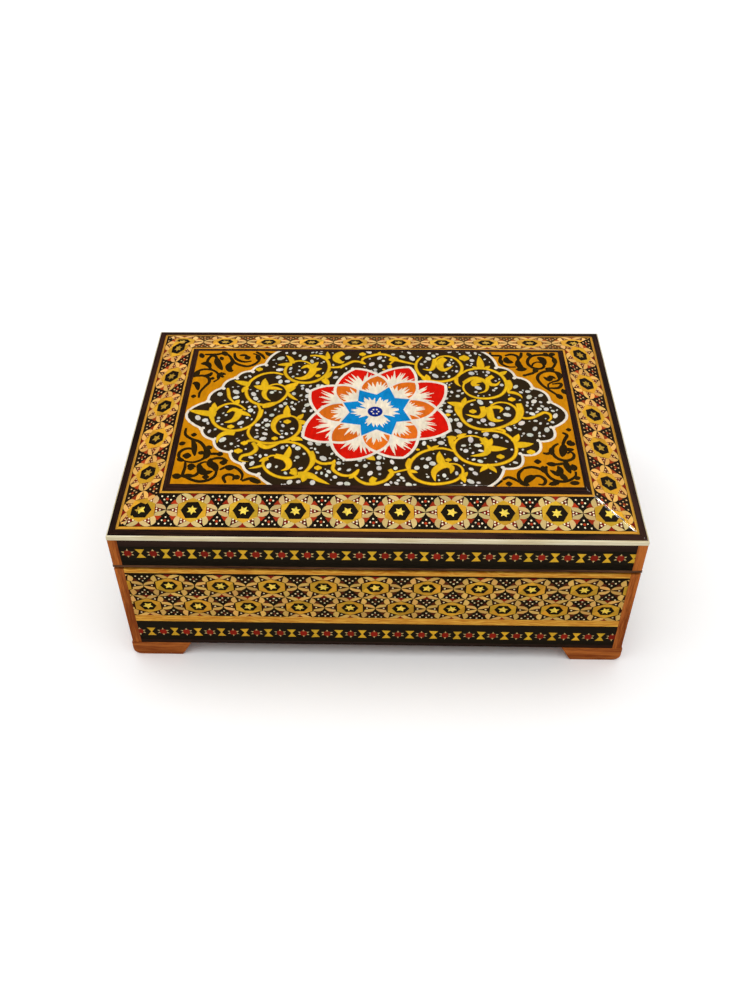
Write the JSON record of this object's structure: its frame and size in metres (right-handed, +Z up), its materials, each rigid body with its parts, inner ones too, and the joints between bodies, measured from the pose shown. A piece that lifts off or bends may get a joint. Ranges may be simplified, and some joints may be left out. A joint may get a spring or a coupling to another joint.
{
  "type": "hinged inlaid box",
  "caption": "Low rectangular wooden keepsake box with star marquetry sides, a hinged lid with a sloping inlaid border and a painted lacquer panel, on short feet.",
  "frame": {"origin": "on the surface the box stands on, under the middle of the whole part's length and depth, feet and hinge barrels counted", "axes": "+X along the length, to the right seen from the front; -Y towards the front, +Y towards the hinges; +Z up"},
  "size_m": [0.2006, 0.1274, 0.0795],
  "materials": {
    "carcass_wood": "plain sawn wood",
    "post_wood": "orange-brown wood, lacquered",
    "light_wood": "golden orange wood, lacquered",
    "dark_band": "dark wood with bow-ties and diamonds let in, lacquered",
    "rosewood": "dark wood, lacquered",
    "marquetry": "star and petal marquetry, lacquered",
    "painted_lacquer": "painted ornament under glossy lacquer",
    "bone": "bone-coloured strip, lacquered",
    "velvet": "short-pile cloth on card",
    "brass": "plain brass"
  },
  "bodies": {
    "box": {"back_board": "carcass_wood", "base_band_back": "dark_band", "base_band_front": "dark_band", "base_band_left": "dark_band", "base_band_right": "dark_band", "bottom_panel": "carcass_wood", "corner_post_back_left": "post_wood", "corner_post_back_right": "post_wood", "corner_post_front_left": "post_wood", "corner_post_front_right": "post_wood", "foot_back_left": "post_wood", "foot_back_right": "post_wood", "foot_front_left": "post_wood", "foot_front_right": "post_wood", "front_board": "carcass_wood", "hinge_body_screws": "brass", "hinge_left_body_leaf": "brass", "hinge_left_pin": "brass", "hinge_right_body_leaf": "brass", "hinge_right_pin": "brass", "left_board": "carcass_wood", "lining_back": "velvet", "lining_floor": "velvet", "lining_front": "velvet", "lining_left": "velvet", "lining_right": "velvet", "lower_lines": "light_wood", "marquetry_back": "marquetry", "marquetry_front": "marquetry", "marquetry_left": "marquetry", "marquetry_right": "marquetry", "right_board": "carcass_wood", "upper_lines": "light_wood"},
    "lid": {"bone_line": "bone", "hinge_left_lid_leaf": "brass", "hinge_lid_screws": "brass", "hinge_right_lid_leaf": "brass", "lid_band_back": "dark_band", "lid_band_front": "dark_band", "lid_band_left": "dark_band", "lid_band_right": "dark_band", "lid_core": "carcass_wood", "lid_edge_strips": "rosewood", "lid_lining": "velvet", "lid_lower_lines": "light_wood", "lid_marquetry_back": "marquetry", "lid_marquetry_front": "marquetry", "lid_marquetry_left": "marquetry", "lid_marquetry_right": "marquetry", "lid_post_back_left": "post_wood", "lid_post_back_right": "post_wood", "lid_post_front_left": "post_wood", "lid_post_front_right": "post_wood", "lid_rail_back": "carcass_wood", "lid_rail_front": "carcass_wood", "lid_rail_left": "carcass_wood", "lid_rail_right": "carcass_wood", "painted_panel": "painted_lacquer", "panel_border_strips": "rosewood"}
  },
  "joints": [
    {"name": "lid_hinge", "type": "hinge", "parent": "box", "child": "lid", "pos_m": [0, 0.0622, 0.0552], "axis": [-1, 0, 0], "range_deg": [0, 100]}
  ]
}
